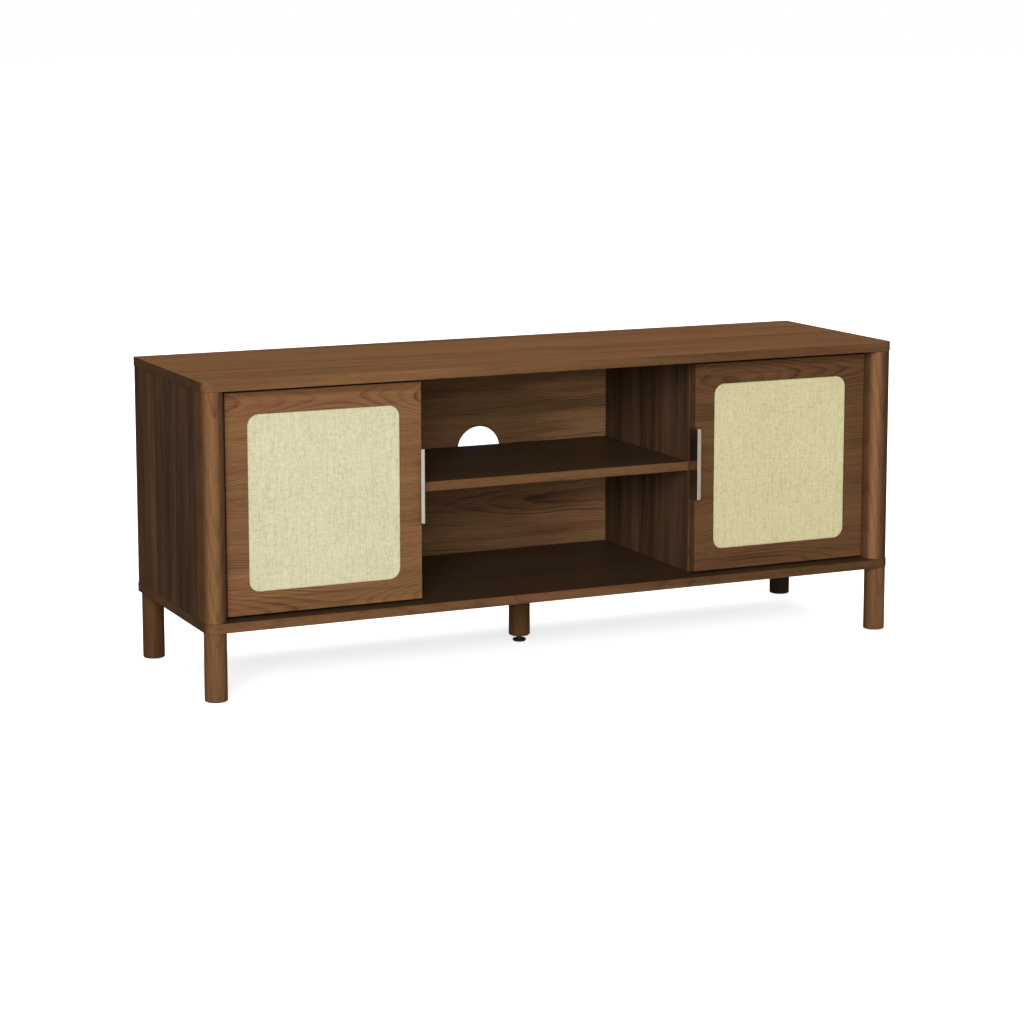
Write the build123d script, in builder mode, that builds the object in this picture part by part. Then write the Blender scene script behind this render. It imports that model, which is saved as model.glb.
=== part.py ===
from build123d import *
import os

# TV stand with two hinged doors, an open middle bay and five legs.
# Millimetres. X runs to the right, Y to the back, Z up.
# The origin is on the floor under the middle of the stand.

# ---- driving dimensions ----------------------------------------------------------------------
WIDTH = 1198
DEPTH = 350
LEG_HEIGHT = 106
INSIDE_HEIGHT = 350
BOARD = 15
BACK_BOARD = 3
SIDE_OVERHANG = 1        # top and bottom boards beyond the side boards
PANEL_CORNER_R = 18.5    # front corners of the top and bottom boards
ARRIS = 0.6              # broken edge of every laminated board

POST_R = 17.5            # half-round front of the corner posts
FRONT_SETBACK = 47       # front edges of side boards, dividers and shelf behind the top's front
DIVIDER_X = 239.5        # bay face of each divider from the middle
DOOR_SETBACK = 26        # door face behind the top's front edge
DOOR_OUTER_X = 557.5
DOOR_INNER_X = 240
DOOR_GAP_TOP = 6
DOOR_GAP_BOTTOM = 3.5

WINDOW_BORDER_X = 35
WINDOW_BORDER_Z = 34
WINDOW_R = 18
WINDOW_DEPTH = 4.5
INSERT_RECESS = 1.5
INSERT_THICKNESS = 1.0
INSERT_PLAY = 0.3        # gap between insert and window all round

LEG_R = 17.5
LEG_EDGE_IN = 18.5       # leg axis from the board edges
MIDDLE_LEG_Y = 10
MIDDLE_LEG_LIFT = 10.5   # wood of the middle leg ends this far above the floor
LEG_EDGE = 2             # rounded or chamfered lower edge of a leg
FOOT_R = 11
FOOT_TRAVEL = 4
FOOT_FLOOR_R = 9.5
FOOT_BEVEL = 2
FOOT_THICKNESS = 4.5
FOOT_TOP_SLOPE = (1.5, 1)
COLLAR_R = 5
COLLAR_TOP = 6

CABLE_HOLE_R = 39

HANDLE_LENGTH = 116
HANDLE_ABOVE_MIDDLE = 8
HANDLE_STRIP = 1.5
HANDLE_REACH = 11        # how far the pull stands in front of the door face
HANDLE_LIP = 6.5
HANDLE_FLANGE = 18
HANDLE_LIP_R = 3         # outer corners of the lip

HINGE_FROM_EDGE = 15     # hinge axis from the door's outer edge
HINGE_END_DISTANCE = 60  # hinge centres from the door's ends
CUP_FROM_EDGE = 17
CUP_R = 13
CUP_DEPTH = 11.5
CUP_WALL = 1
CUP_FLANGE = 1
CUP_RIM = 1              # flange beyond the cup
CUP_EAR_WIDTH = 10
CUP_EAR_LENGTH = 5       # flange beyond its screws
HINGE_PIN_R = 1.5
HINGE_PIN_HALF_LENGTH = 12.5
HINGE_ARM = 1.8
HINGE_ARM_HALF_WIDTH = 4.5
HINGE_ARM_BEND_R = 2.5
ARM_NECK = (16.1, 13.5)      # bend behind the door, from the hinge axis: inwards, backwards
ARM_SHOULDER = (13.5, 19.8)  # bend towards the side board, from the hinge axis
HINGE_KNUCKLE_R = 2.8
HINGE_PLATE = 2.5
HINGE_PLATE_R = 3
RUNNING_PLAY = 0.05

FIT_PLAY = 0.1

# fittings that hold the boards together
CAM_R = 7.5
CAM_DEPTH = 12
CAM_FROM_END = 34
CAM_BOLT_R = 3
CAM_BOLT_IN_PANEL = 10
CAM_BOLT_TIP = 3.5       # how deep the bolt's tip reaches into the cam
CROSS_LENGTH = 8         # driver slot in the cam's face
CROSS_WIDTH = 1.6
CROSS_DEPTH = 2
DOWEL_R = 4
DOWEL_IN_PANEL = 10
DOWEL_IN_BOARD = 20

# pins of the loose shelves
PIN_R = 2.4
PIN_HOLE_R = 2.5
PIN_HOLE_DEPTH = 9
PIN_PITCH = 32
PADDLE_LENGTH = 8
PADDLE_HALF_WIDTH = 4
LOOSE_SHELF_PLAY = 1

# back board screws
BACK_SCREW_PITCH = 78
BACK_SCREW_R = 1.5
BACK_SCREW_HEAD_R = 3
BACK_SCREW_HEAD = 1.5
BACK_SCREW_LENGTH = 18

# leg hardware
BOLT_R = 4
BOLT_IN_LEG = 40
BOLT_IN_PANEL = 10
LEG_INSERT_R = 6
LEG_INSERT_LENGTH = 12
STEM_R = 3
STEM_TOP = 38
STEM_ROOM = 2            # bore left above the stem at the top of its travel
STEM_BORE_R = 3.5
SLEEVE_R = 5
SLEEVE_LENGTH = 18

# small pan-head screw used on hinges, pulls, catches and strikes
SCREW_R = 1.5
SCREW_LENGTH = 9
SCREW_HEAD_R = 3
SCREW_HEAD = 1.6

# magnetic catch and its strike
CATCH_BELOW_DOOR_TOP = 25
CATCH_THICKNESS = 12
CATCH_HALF_CORE = 10
CATCH_HALF_LENGTH = 20
CATCH_EAR = 3
CATCH_EDGE_R = 1
CATCH_SCREW_Z = 15
MAGNET_HALF_WIDTH = 4
MAGNET_HALF_HEIGHT = 8
MAGNET_GAP = 0.2
MAGNET_GROOVE_HALF = 1.5
MAGNET_GROOVE_DEPTH = 1
STRIKE = 1
STRIKE_LENGTH = 36
STRIKE_FROM_DIVIDER = 1.5
STRIKE_HALF_HEIGHT = 7
STRIKE_SCREW_FROM_END = 9
STRIKE_R = 2

BUFFER_R = 4
BUFFER_EDGE_R = 1
BUFFER_PLAY = 0.2
BUFFER_FROM_END = 11

HANDLE_SCREW_FROM_EDGE = 9.5
HANDLE_SCREW_Z = 45
CUP_SCREW_Z = 19
PLATE_HALF_HEIGHT = 20
PLATE_SCREW_Z = 14

# ---- derived positions ---------------------------------------------------------------------
FRONT = -DEPTH / 2
REAR = DEPTH / 2
BOTTOM_TOP = LEG_HEIGHT + BOARD
TOP_UNDER = BOTTOM_TOP + INSIDE_HEIGHT
MIDDLE_Z = (BOTTOM_TOP + TOP_UNDER) / 2
BOARD_FRONT = FRONT + FRONT_SETBACK
BOARD_REAR = REAR - BACK_BOARD
SIDE_OUT_X = WIDTH / 2 - SIDE_OVERHANG
SIDE_IN_X = SIDE_OUT_X - BOARD
DIVIDER_OUT_X = DIVIDER_X + BOARD
POST_X = SIDE_OUT_X - POST_R
POST_Y = FRONT + SIDE_OVERHANG + POST_R
DOOR_FACE = FRONT + DOOR_SETBACK
DOOR_BACK = DOOR_FACE + BOARD
DOOR_LOW = BOTTOM_TOP + DOOR_GAP_BOTTOM
DOOR_HIGH = TOP_UNDER - DOOR_GAP_TOP
DOOR_MIDDLE_X = (DOOR_OUTER_X + DOOR_INNER_X) / 2
DOOR_MIDDLE_Z = (DOOR_LOW + DOOR_HIGH) / 2
WINDOW_WIDTH = DOOR_OUTER_X - DOOR_INNER_X - 2 * WINDOW_BORDER_X
WINDOW_HEIGHT = DOOR_HIGH - DOOR_LOW - 2 * WINDOW_BORDER_Z
INSERT_FACE = DOOR_FACE + INSERT_RECESS
LEG_X = WIDTH / 2 - LEG_EDGE_IN
LEG_Y = DEPTH / 2 - LEG_EDGE_IN
HINGE_X = DOOR_OUTER_X - HINGE_FROM_EDGE
HINGE_Y = DOOR_FACE + BOARD / 2
HINGE_HEIGHTS = (DOOR_LOW + HINGE_END_DISTANCE, DOOR_HIGH - HINGE_END_DISTANCE)
CUP_X = DOOR_OUTER_X - CUP_FROM_EDGE
HANDLE_Z = DOOR_MIDDLE_Z + HANDLE_ABOVE_MIDDLE

SIDES = {"left": -1, "right": 1}
LEG_PLACES = {
    "front_left_leg": (-LEG_X, -LEG_Y),
    "front_right_leg": (LEG_X, -LEG_Y),
    "rear_left_leg": (-LEG_X, LEG_Y),
    "rear_right_leg": (LEG_X, LEG_Y),
}
ALL_LEG_PLACES = [*LEG_PLACES.values(), (0, MIDDLE_LEG_Y)]

# middle lines of the upright boards and the depths of their fittings
UPRIGHT_X = (-(SIDE_IN_X + BOARD / 2), -(DIVIDER_X + BOARD / 2),
             DIVIDER_X + BOARD / 2, SIDE_IN_X + BOARD / 2)
CAM_Y = (BOARD_FRONT + 33, BOARD_REAR - 47)
DOWEL_Y = (BOARD_FRONT + 73, BOARD_REAR - 87)
POST_DOWEL_Y = BOARD_FRONT - 10
BACK_SCREW_HEIGHTS = [MIDDLE_Z + step * BACK_SCREW_PITCH for step in range(-2, 3)]

# fixed shelf and its fittings
SHELF_UNDER = MIDDLE_Z - BOARD / 2
SHELF_CAM_X = DIVIDER_X - CAM_FROM_END
SHELF_CAM_Y = (BOARD_FRONT + 58, BOARD_REAR - 67)
SHELF_DOWEL_Y = (BOARD_FRONT + 98, BOARD_REAR - 107)

# loose shelves
PIN_Y = (BOARD_FRONT + 28, BOARD_REAR - 37)
PIN_Z = SHELF_UNDER
LOOSE_SHELF_FRONT = BOARD_FRONT + 13
LOOSE_SHELF_REAR = BOARD_REAR - 7

# hinge plates, catch, strike and pull
PLATE_Y = (BOARD_FRONT + 4, BOARD_FRONT + 48)
PLATE_SCREW_Y = BOARD_FRONT + 26
ARM_SCREW_Y = BOARD_FRONT + 35
ARM_END_Y = BOARD_FRONT + 43
CATCH_Z = DOOR_HIGH - CATCH_BELOW_DOOR_TOP
CATCH_Y = (BOARD_FRONT - 3, BOARD_FRONT + 12)
CATCH_SCREW_Y = BOARD_FRONT + 4.5
MAGNET_FRONT = DOOR_BACK + STRIKE + MAGNET_GAP
MAGNET_REAR = BOARD_FRONT + 4
STRIKE_X = (DIVIDER_OUT_X + STRIKE_FROM_DIVIDER,
            DIVIDER_OUT_X + STRIKE_FROM_DIVIDER + STRIKE_LENGTH)
STRIKE_SCREW_X = STRIKE_X[1] - STRIKE_SCREW_FROM_END
HANDLE_SCREW_X = DOOR_INNER_X + HANDLE_SCREW_FROM_EDGE

UP = (0, 0, 1)
DOWN = (0, 0, -1)
RIGHT = (1, 0, 0)
FORWARD = (0, -1, 0)
BACKWARD = (0, 1, 0)
FROM_LOW = (Align.CENTER, Align.CENTER, Align.MIN)


def outward(side):
    """Direction from the middle of the stand towards the named side."""
    return (side, 0, 0)


def inward(side):
    return (-side, 0, 0)


def rod(origin, direction, radius, length, mode=Mode.ADD):
    """A round bar, or with Mode.SUBTRACT a round hole, from origin along direction."""
    with Locations(Plane(origin=origin, z_dir=direction)):
        Cylinder(radius, length, align=FROM_LOW, mode=mode)


def drill(origin, direction, radius, depth):
    rod(origin, direction, radius, depth, Mode.SUBTRACT)


def slab(x_range, y_range, z_low, z_high, mode=Mode.ADD):
    """A straight block, given by its limits."""
    x_low, x_high = sorted(x_range)
    y_low, y_high = sorted(y_range)
    with Locations(((x_low + x_high) / 2, (y_low + y_high) / 2, z_low)):
        Box(x_high - x_low, y_high - y_low, z_high - z_low, align=FROM_LOW, mode=mode)


def pan_screw(origin, direction):
    """Small screw: origin is under its head, direction is the way it is driven."""
    back = tuple(-value for value in direction)
    rod(origin, back, SCREW_HEAD_R, SCREW_HEAD)
    rod(origin, direction, SCREW_R, SCREW_LENGTH)


def screw_hole(origin, direction):
    drill(origin, direction, SCREW_R, SCREW_LENGTH)


def save(piece, name):
    piece.part.label = name
    export_step(piece.part, f"parts/{name}.step")


os.makedirs("parts", exist_ok=True)

# ---- top and bottom boards -------------------------------------------------------------------
def bore_panel(face_z, into_panel):
    """Cam bolt and dowel bores in the top or bottom board, from the face that the uprights meet."""
    for x in UPRIGHT_X:
        for y in CAM_Y:
            drill((x, y, face_z), into_panel, CAM_BOLT_R, CAM_BOLT_IN_PANEL)
        for y in DOWEL_Y:
            drill((x, y, face_z), into_panel, DOWEL_R, DOWEL_IN_PANEL)
    for side in SIDES.values():
        drill((side * POST_X, POST_DOWEL_Y, face_z), into_panel, DOWEL_R, DOWEL_IN_PANEL)


with BuildPart() as top_panel:
    with BuildSketch(Plane.XY.offset(TOP_UNDER)):
        Rectangle(WIDTH, DEPTH)
    extrude(amount=BOARD)
    fillet(top_panel.edges().filter_by(Axis.Z).group_by(Axis.Y)[0], PANEL_CORNER_R)
    fillet(top_panel.faces().sort_by(Axis.Z)[-1].edges(), ARRIS)
    fillet(top_panel.faces().sort_by(Axis.Z)[0].edges(), ARRIS)
    bore_panel(TOP_UNDER, UP)
save(top_panel, "top_panel")

with BuildPart() as bottom_panel:
    with BuildSketch(Plane.XY.offset(LEG_HEIGHT)):
        Rectangle(WIDTH, DEPTH)
    extrude(amount=BOARD)
    fillet(bottom_panel.edges().filter_by(Axis.Z).group_by(Axis.Y)[0], PANEL_CORNER_R)
    fillet(bottom_panel.faces().sort_by(Axis.Z)[-1].edges(), ARRIS)
    fillet(bottom_panel.faces().sort_by(Axis.Z)[0].edges(), ARRIS)
    bore_panel(BOTTOM_TOP, DOWN)
    for x, y in ALL_LEG_PLACES:
        drill((x, y, LEG_HEIGHT), UP, LEG_INSERT_R, LEG_INSERT_LENGTH)
save(bottom_panel, "bottom_panel")


# ---- upright boards --------------------------------------------------------------------------
def bore_upright_ends(middle_x, cam_face_x, into_board):
    """Cam, cam bolt and dowel bores at both ends of an upright board."""
    for end_z, towards in ((TOP_UNDER, DOWN), (BOTTOM_TOP, UP)):
        cam_z = end_z + towards[2] * CAM_FROM_END
        for y in CAM_Y:
            drill((cam_face_x, y, cam_z), into_board, CAM_R, CAM_DEPTH)
            drill((middle_x, y, end_z), towards, CAM_BOLT_R + FIT_PLAY, CAM_FROM_END)
        for y in DOWEL_Y:
            drill((middle_x, y, end_z), towards, DOWEL_R, DOWEL_IN_BOARD)


def bore_pin_rows(face_x, into_board):
    for y in PIN_Y:
        for step in (-1, 0, 1):
            drill((face_x, y, PIN_Z + step * PIN_PITCH), into_board, PIN_HOLE_R, PIN_HOLE_DEPTH)


def bore_back_screws(middle_x):
    for z in BACK_SCREW_HEIGHTS:
        depth = BACK_SCREW_LENGTH - BACK_BOARD
        drill((middle_x, BOARD_REAR, z), FORWARD, BACK_SCREW_R, depth)


for name, side in SIDES.items():
    side_middle_x = side * (SIDE_IN_X + BOARD / 2)
    with BuildPart() as side_panel:
        slab((side * SIDE_IN_X, side * SIDE_OUT_X), (BOARD_FRONT, BOARD_REAR), BOTTOM_TOP, TOP_UNDER)
        bore_upright_ends(side_middle_x, side * SIDE_IN_X, outward(side))
        bore_pin_rows(side * SIDE_IN_X, outward(side))
        bore_back_screws(side_middle_x)
        plate_face_x = side * (SIDE_IN_X - HINGE_PLATE)
        for hinge_z in HINGE_HEIGHTS:
            for step in (-1, 1):
                z = hinge_z + step * PLATE_SCREW_Z
                screw_hole((plate_face_x, PLATE_SCREW_Y, z), outward(side))
            arm_face_x = side * (SIDE_IN_X - HINGE_PLATE - HINGE_ARM)
            screw_hole((arm_face_x, ARM_SCREW_Y, hinge_z), outward(side))
    save(side_panel, f"{name}_side_panel")

    divider_middle_x = side * (DIVIDER_X + BOARD / 2)
    with BuildPart() as divider:
        slab((side * DIVIDER_X, side * DIVIDER_OUT_X), (BOARD_FRONT, BOARD_REAR), BOTTOM_TOP, TOP_UNDER)
        fillet(divider.edges().filter_by(Axis.Z).group_by(Axis.Y)[0], ARRIS)
        bore_upright_ends(divider_middle_x, side * DIVIDER_OUT_X, inward(side))
        bore_pin_rows(side * DIVIDER_OUT_X, inward(side))
        bore_back_screws(divider_middle_x)
        for y in SHELF_CAM_Y:
            drill((side * DIVIDER_X, y, MIDDLE_Z), outward(side), CAM_BOLT_R, CAM_BOLT_IN_PANEL)
        for y in SHELF_DOWEL_Y:
            drill((side * DIVIDER_X, y, MIDDLE_Z), outward(side), DOWEL_R, DOWEL_IN_PANEL)
        for step in (-1, 1):
            ear_x = side * (DIVIDER_OUT_X + CATCH_EAR)
            screw_hole((ear_x, CATCH_SCREW_Y, CATCH_Z + step * CATCH_SCREW_Z), inward(side))
    save(divider, f"{name}_divider")

    # half-round post: a round front that runs back into a square tail
    with BuildPart() as corner_post:
        with BuildSketch(Plane.XY.offset(BOTTOM_TOP)):
            with Locations((side * POST_X, POST_Y)):
                Circle(POST_R)
            with Locations((side * POST_X, (POST_Y + BOARD_FRONT) / 2)):
                Rectangle(2 * POST_R, BOARD_FRONT - POST_Y)
        extrude(amount=INSIDE_HEIGHT)
        drill((side * POST_X, POST_DOWEL_Y, TOP_UNDER), DOWN, DOWEL_R, DOWEL_IN_BOARD)
        drill((side * POST_X, POST_DOWEL_Y, BOTTOM_TOP), UP, DOWEL_R, DOWEL_IN_BOARD)
    save(corner_post, f"{name}_corner_post")

# ---- shelves -----------------------------------------------------------------------------------
with BuildPart() as centre_shelf:
    slab((-DIVIDER_X, DIVIDER_X), (BOARD_FRONT, BOARD_REAR), SHELF_UNDER, SHELF_UNDER + BOARD)
    fillet(centre_shelf.edges().filter_by(Axis.X).group_by(Axis.Y)[0], ARRIS)
    for side in SIDES.values():
        for y in SHELF_CAM_Y:
            drill((side * SHELF_CAM_X, y, SHELF_UNDER), UP, CAM_R, CAM_DEPTH)
            drill((side * DIVIDER_X, y, MIDDLE_Z), inward(side), CAM_BOLT_R + FIT_PLAY, CAM_FROM_END)
        for y in SHELF_DOWEL_Y:
            drill((side * DIVIDER_X, y, MIDDLE_Z), inward(side), DOWEL_R, DOWEL_IN_BOARD)
save(centre_shelf, "centre_shelf")

for name, side in SIDES.items():
    with BuildPart() as cupboard_shelf:
        inner_x = side * (DIVIDER_OUT_X + LOOSE_SHELF_PLAY)
        outer_x = side * (SIDE_IN_X - LOOSE_SHELF_PLAY)
        shelf_low = PIN_Z + PIN_HOLE_R
        slab((inner_x, outer_x), (LOOSE_SHELF_FRONT, LOOSE_SHELF_REAR), shelf_low, shelf_low + BOARD)
        fillet(cupboard_shelf.edges().filter_by(Axis.X).group_by(Axis.Y)[0], ARRIS)
    save(cupboard_shelf, f"{name}_cupboard_shelf")

# each pin is a peg in the board with a small flat paddle under the shelf
with BuildPart() as shelf_pins:
    for side in SIDES.values():
        for face_x, into_board in ((SIDE_IN_X, side), (DIVIDER_OUT_X, -side)):
            for y in PIN_Y:
                rod((side * face_x, y, PIN_Z), (into_board, 0, 0), PIN_R, PIN_HOLE_DEPTH - FIT_PLAY)
                paddle_x = (side * face_x, side * face_x - into_board * PADDLE_LENGTH)
                paddle_y = (y - PADDLE_HALF_WIDTH, y + PADDLE_HALF_WIDTH)
                slab(paddle_x, paddle_y, PIN_Z - PIN_R, PIN_Z + PIN_R)
save(shelf_pins, "shelf_pins")

# ---- back board ---------------------------------------------------------------------------------
with BuildPart() as back_panel:
    slab((-SIDE_OUT_X, SIDE_OUT_X), (BOARD_REAR, REAR), BOTTOM_TOP, TOP_UNDER)
    drill((0, BOARD_REAR, MIDDLE_Z), BACKWARD, CABLE_HOLE_R, BACK_BOARD)
    back_screw_places = [(x, REAR, z) for x in UPRIGHT_X for z in BACK_SCREW_HEIGHTS]
    for place in back_screw_places:
        with Locations(Plane(origin=place, z_dir=BACKWARD)):
            CounterSinkHole(BACK_SCREW_R, BACK_SCREW_HEAD_R, BACK_BOARD, counter_sink_angle=90)
save(back_panel, "back_panel")

with BuildPart() as back_screws:
    for place in back_screw_places:
        with Locations(Plane(origin=place, z_dir=FORWARD)):
            Cylinder(BACK_SCREW_R, BACK_SCREW_LENGTH, align=FROM_LOW)
            Cone(BACK_SCREW_HEAD_R, BACK_SCREW_R, BACK_SCREW_HEAD, align=FROM_LOW)
save(back_screws, "back_screws")

# ---- cam locks, cam bolts and dowels -------------------------------------------------------------
with BuildPart() as cam_bolts:
    for x in UPRIGHT_X:
        for y in CAM_Y:
            for end_z, towards in ((TOP_UNDER, -1), (BOTTOM_TOP, 1)):
                start = (x, y, end_z - towards * CAM_BOLT_IN_PANEL)
                reach = CAM_BOLT_IN_PANEL + CAM_FROM_END - CAM_R + CAM_BOLT_TIP
                rod(start, (0, 0, towards), CAM_BOLT_R, reach)
    for side in SIDES.values():
        for y in SHELF_CAM_Y:
            start = (side * (DIVIDER_X + CAM_BOLT_IN_PANEL), y, MIDDLE_Z)
            rod(start, inward(side), CAM_BOLT_R, reach)
save(cam_bolts, "cam_bolts")

CAM_PLACES = []
for side in SIDES.values():
    for face_x, into_board in ((SIDE_IN_X, side), (DIVIDER_OUT_X, -side)):
        for y in CAM_Y:
            CAM_PLACES.append(((side * face_x, y, TOP_UNDER - CAM_FROM_END), (into_board, 0, 0), UP))
            CAM_PLACES.append(((side * face_x, y, BOTTOM_TOP + CAM_FROM_END), (into_board, 0, 0), DOWN))
    for y in SHELF_CAM_Y:
        CAM_PLACES.append(((side * SHELF_CAM_X, y, SHELF_UNDER), UP, outward(side)))

# each cam is a disc with a side bore for the bolt's tip and a cross slot in its face
with BuildPart() as cam_locks:
    for face, into_board, to_bolt in CAM_PLACES:
        rod(face, into_board, CAM_R - FIT_PLAY, CAM_DEPTH - FIT_PLAY)
    for face, into_board, to_bolt in CAM_PLACES:
        bolt_axis = tuple(f + i * BOARD / 2 for f, i in zip(face, into_board))
        tip = tuple(c + t * (CAM_R - CAM_BOLT_TIP) for c, t in zip(bolt_axis, to_bolt))
        drill(tip, to_bolt, CAM_BOLT_R + FIT_PLAY, CAM_R)
        with Locations(Plane(origin=face, z_dir=into_board)):
            Box(CROSS_LENGTH, CROSS_WIDTH, CROSS_DEPTH, align=FROM_LOW, mode=Mode.SUBTRACT)
            Box(CROSS_WIDTH, CROSS_LENGTH, CROSS_DEPTH, align=FROM_LOW, mode=Mode.SUBTRACT)
save(cam_locks, "cam_locks")

DOWEL_LENGTH = DOWEL_IN_PANEL + DOWEL_IN_BOARD - 2 * FIT_PLAY
with BuildPart() as dowels:
    for end_z, towards in ((TOP_UNDER, -1), (BOTTOM_TOP, 1)):
        start_z = end_z - towards * (DOWEL_IN_PANEL - FIT_PLAY)
        dowel_places = [(x, y) for x in UPRIGHT_X for y in DOWEL_Y]
        dowel_places += [(side * POST_X, POST_DOWEL_Y) for side in SIDES.values()]
        for x, y in dowel_places:
            rod((x, y, start_z), (0, 0, towards), DOWEL_R - FIT_PLAY, DOWEL_LENGTH)
    for side in SIDES.values():
        for y in SHELF_DOWEL_Y:
            start = (side * (DIVIDER_X + DOWEL_IN_PANEL - FIT_PLAY), y, MIDDLE_Z)
            rod(start, inward(side), DOWEL_R - FIT_PLAY, DOWEL_LENGTH)
save(dowels, "dowels")

# ---- legs ---------------------------------------------------------------------------------------
for name, (x, y) in LEG_PLACES.items():
    with BuildPart() as leg:
        with BuildSketch(Plane.XY):
            with Locations((x, y)):
                Circle(LEG_R)
        extrude(amount=LEG_HEIGHT)
        fillet(leg.faces().sort_by(Axis.Z)[0].edges(), LEG_EDGE)
        drill((x, y, LEG_HEIGHT), DOWN, BOLT_R, BOLT_IN_LEG)
    save(leg, name)

with BuildPart() as centre_leg:
    with BuildSketch(Plane.XY.offset(MIDDLE_LEG_LIFT)):
        with Locations((0, MIDDLE_LEG_Y)):
            Circle(LEG_R)
    extrude(amount=LEG_HEIGHT - MIDDLE_LEG_LIFT)
    chamfer(centre_leg.faces().sort_by(Axis.Z)[0].edges(), LEG_EDGE)
    drill((0, MIDDLE_LEG_Y, LEG_HEIGHT), DOWN, BOLT_R, BOLT_IN_LEG)
    drill((0, MIDDLE_LEG_Y, MIDDLE_LEG_LIFT), UP, SLEEVE_R, SLEEVE_LENGTH)
    stem_bore = STEM_TOP + FOOT_TRAVEL + STEM_ROOM - MIDDLE_LEG_LIFT
    drill((0, MIDDLE_LEG_Y, MIDDLE_LEG_LIFT), UP, STEM_BORE_R, stem_bore)
save(centre_leg, "centre_leg")

with BuildPart() as hanger_bolts:
    for x, y in ALL_LEG_PLACES:
        bolt_low = LEG_HEIGHT - BOLT_IN_LEG + FIT_PLAY
        rod((x, y, bolt_low), UP, BOLT_R - FIT_PLAY, BOLT_IN_LEG + BOLT_IN_PANEL - FIT_PLAY)
save(hanger_bolts, "hanger_bolts")

with BuildPart() as leg_inserts:
    for x, y in ALL_LEG_PLACES:
        rod((x, y, LEG_HEIGHT), UP, LEG_INSERT_R - FIT_PLAY, LEG_INSERT_LENGTH - FIT_PLAY)
        drill((x, y, LEG_HEIGHT), UP, BOLT_R, LEG_INSERT_LENGTH)
save(leg_inserts, "leg_inserts")

with BuildPart() as foot_sleeve:
    rod((0, MIDDLE_LEG_Y, MIDDLE_LEG_LIFT), UP, SLEEVE_R - FIT_PLAY, SLEEVE_LENGTH - FIT_PLAY)
    drill((0, MIDDLE_LEG_Y, MIDDLE_LEG_LIFT), UP, STEM_R + RUNNING_PLAY, SLEEVE_LENGTH)
save(foot_sleeve, "foot_sleeve")

# levelling foot: a turned disc, a short collar and a stem, drawn as half a section
with BuildPart() as levelling_foot:
    with BuildSketch(Plane.XZ.offset(-MIDDLE_LEG_Y)):
        with BuildLine():
            Polyline(
                (0, 0), (FOOT_FLOOR_R, 0), (FOOT_R, FOOT_BEVEL),
                (FOOT_R, FOOT_THICKNESS - FOOT_TOP_SLOPE[1]),
                (FOOT_R - FOOT_TOP_SLOPE[0], FOOT_THICKNESS), (COLLAR_R, FOOT_THICKNESS),
                (COLLAR_R, COLLAR_TOP), (STEM_R, COLLAR_TOP), (STEM_R, STEM_TOP), (0, STEM_TOP),
                close=True)
        make_face()
    revolve(axis=Axis((0, MIDDLE_LEG_Y, 0), UP))
save(levelling_foot, "levelling_foot")


# ---- doors ----------------------------------------------------------------------------------------
def window_outline(side, play):
    """The rounded window of a door, smaller by play all round, on the current plane."""
    with Locations((side * DOOR_MIDDLE_X, DOOR_MIDDLE_Z)):
        RectangleRounded(WINDOW_WIDTH - 2 * play, WINDOW_HEIGHT - 2 * play, WINDOW_R - play)


def facing_plane(y):
    """Upright plane at depth y, seen from the front: X to the right, Z up, extruding forwards."""
    return Plane(origin=(0, y, 0), x_dir=RIGHT, z_dir=FORWARD)


def cup_screw_places(side):
    return [(side * CUP_X, DOOR_BACK + CUP_FLANGE, z + step * CUP_SCREW_Z)
            for z in HINGE_HEIGHTS for step in (-1, 1)]


def handle_screw_places(side):
    return [(side * HANDLE_SCREW_X, DOOR_BACK + HANDLE_STRIP, HANDLE_Z + step * HANDLE_SCREW_Z)
            for step in (-1, 1)]


def door_screw_places(side):
    strike_screw = (side * STRIKE_SCREW_X, DOOR_BACK + STRIKE, CATCH_Z)
    return [*cup_screw_places(side), *handle_screw_places(side), strike_screw]


def hinge_arm_path(side):
    """Middle line of the crank arm in plan: out of the cup, round the door's edge, to the side board."""
    leaf_x = SIDE_IN_X - HINGE_PLATE - HINGE_ARM / 2
    neck = (HINGE_X - ARM_NECK[0], HINGE_Y + ARM_NECK[1])
    shoulder = (HINGE_X - ARM_SHOULDER[0], HINGE_Y + ARM_SHOULDER[1])
    points = [(HINGE_X, HINGE_Y), neck, shoulder, (leaf_x, shoulder[1]), (leaf_x, ARM_END_Y)]
    return [(side * x, y) for x, y in points]


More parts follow.
